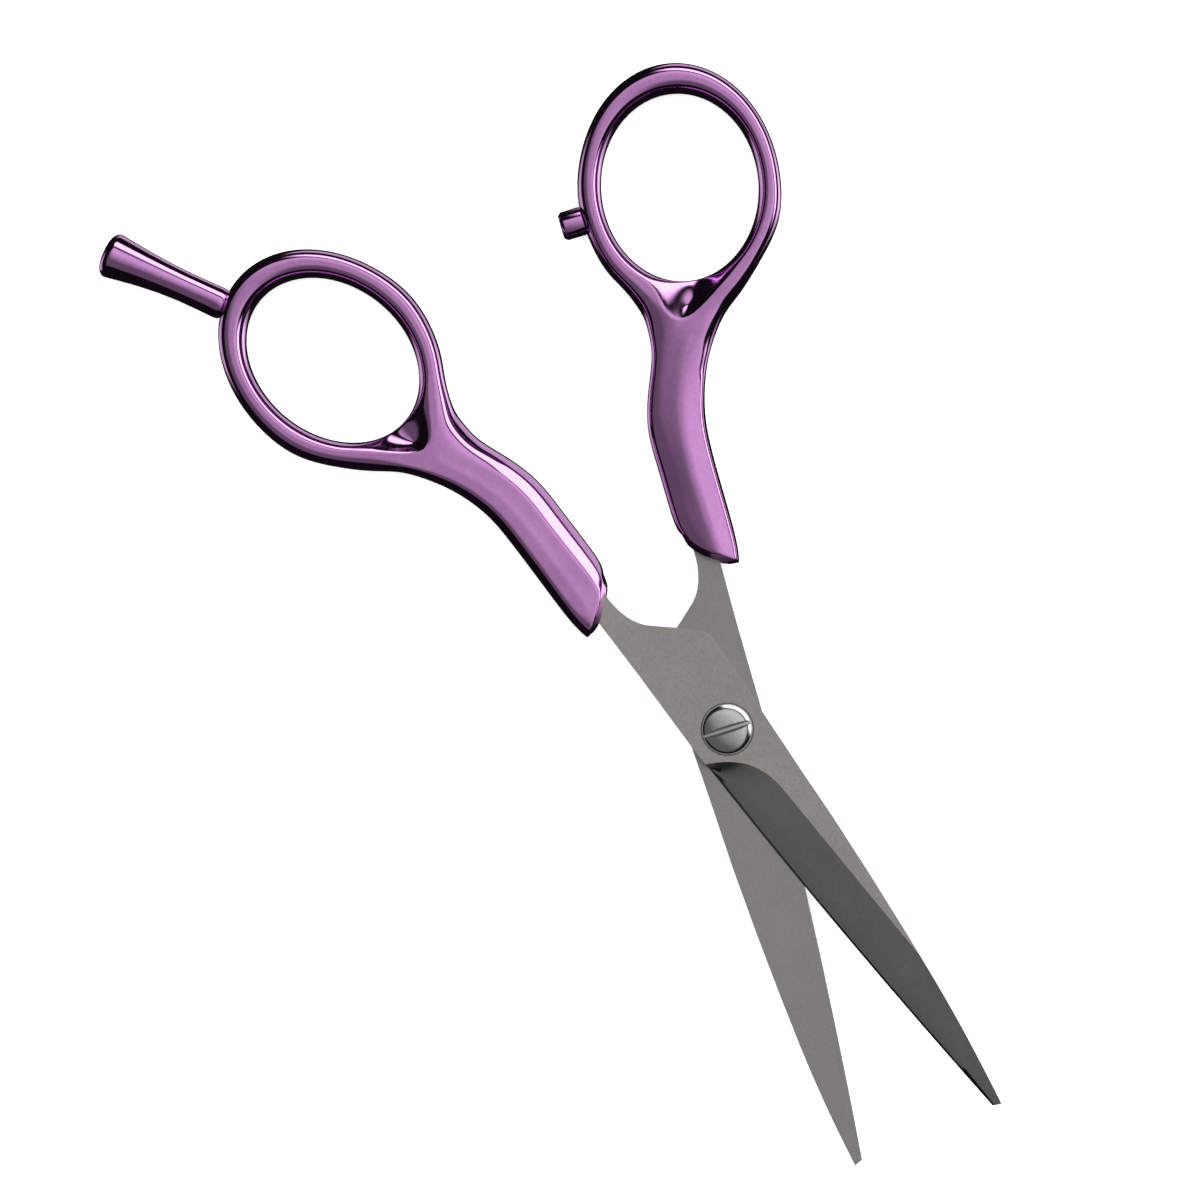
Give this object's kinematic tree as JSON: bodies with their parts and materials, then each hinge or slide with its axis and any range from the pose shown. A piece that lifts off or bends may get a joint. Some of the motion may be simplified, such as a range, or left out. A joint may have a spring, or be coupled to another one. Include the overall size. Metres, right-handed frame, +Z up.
{
  "type": "hair cutting shears",
  "caption": "Hair cutting shears with ringed handles, a slotted tension screw, a screw-in finger rest and a ring bumper; the blades cross and turn on one pivot.",
  "frame": {"origin": "on the pivot axis, on the plane that the shears lie on: the flat end of the blind pivot nut", "axes": "+Y from the pivot to the tip of the still blade, +Z up towards the screw head, +X towards the finger ring"},
  "size_m": [0.093, 0.1804, 0.007],
  "materials": {
    "blade_steel": "satin, fine ground",
    "polished_steel": "polished",
    "purple_plating": "mirror-like plated plastic",
    "brass": "turned",
    "nylon": "moulded"
  },
  "bodies": {
    "still_half": {"still_blade": "blade_steel", "finger_handle": "purple_plating", "finger_rest_insert": "brass", "spring_washer": "polished_steel", "pivot_bush": "nylon"},
    "moving_half": {"moving_blade": "blade_steel", "thumb_handle": "purple_plating", "bumper": "purple_plating", "pivot_nut": "polished_steel"},
    "tension_screw": {"pivot_screw": "polished_steel"},
    "screwed_rest": {"finger_rest": "purple_plating", "finger_rest_stud": "polished_steel"}
  },
  "joints": [
    {"name": "blade_pivot", "type": "hinge", "parent": "still_half", "child": "moving_half", "pos_m": [0, 0, 0.0035], "axis": [0, 0, -1], "range_deg": [-17.5, 120]},
    {"name": "tension_screw_turn", "type": "hinge", "parent": "still_half", "child": "tension_screw", "pos_m": [0, 0, 0.0052], "axis": [0, 0, 1], "range_deg": [-90, 90]},
    {"name": "finger_rest_turn", "type": "hinge", "parent": "still_half", "child": "screwed_rest", "pos_m": [0.024, -0.0946, 0.0035], "axis": [0.5075, -0.8616, 0], "range_deg": [0, 360]}
  ]
}
